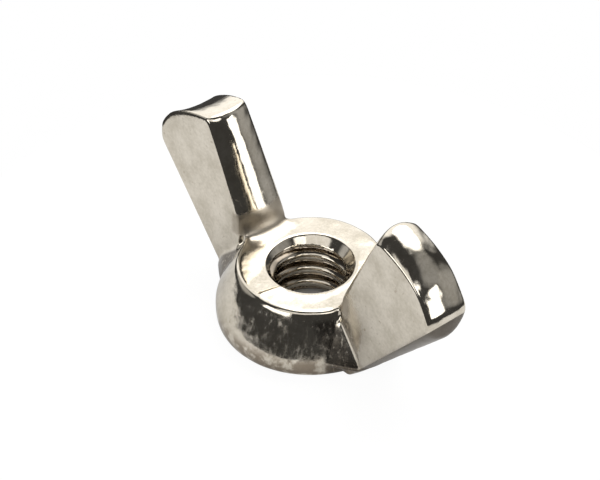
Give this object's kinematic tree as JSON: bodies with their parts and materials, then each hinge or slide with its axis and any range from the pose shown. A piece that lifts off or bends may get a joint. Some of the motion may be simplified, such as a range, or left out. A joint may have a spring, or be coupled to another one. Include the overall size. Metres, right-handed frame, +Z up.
{
  "type": "wing nut",
  "caption": "Forged wing nut in bright nickel-plated steel, tapped 1/4-20 UNC right hand, tightened on a stud by finger and thumb",
  "frame": {"origin": "centre of the seating face, on the thread axis, at the lowest point of the nut", "axes": "+Z up the thread axis away from the seating face; the wings spread along +X and -X; +Y completes the right-handed frame"},
  "size_m": [0.0298, 0.014, 0.0144],
  "materials": {
    "plated_steel": "polished"
  },
  "bodies": {
    "root": {"wing_nut": "plated_steel"}
  },
  "joints": []
}
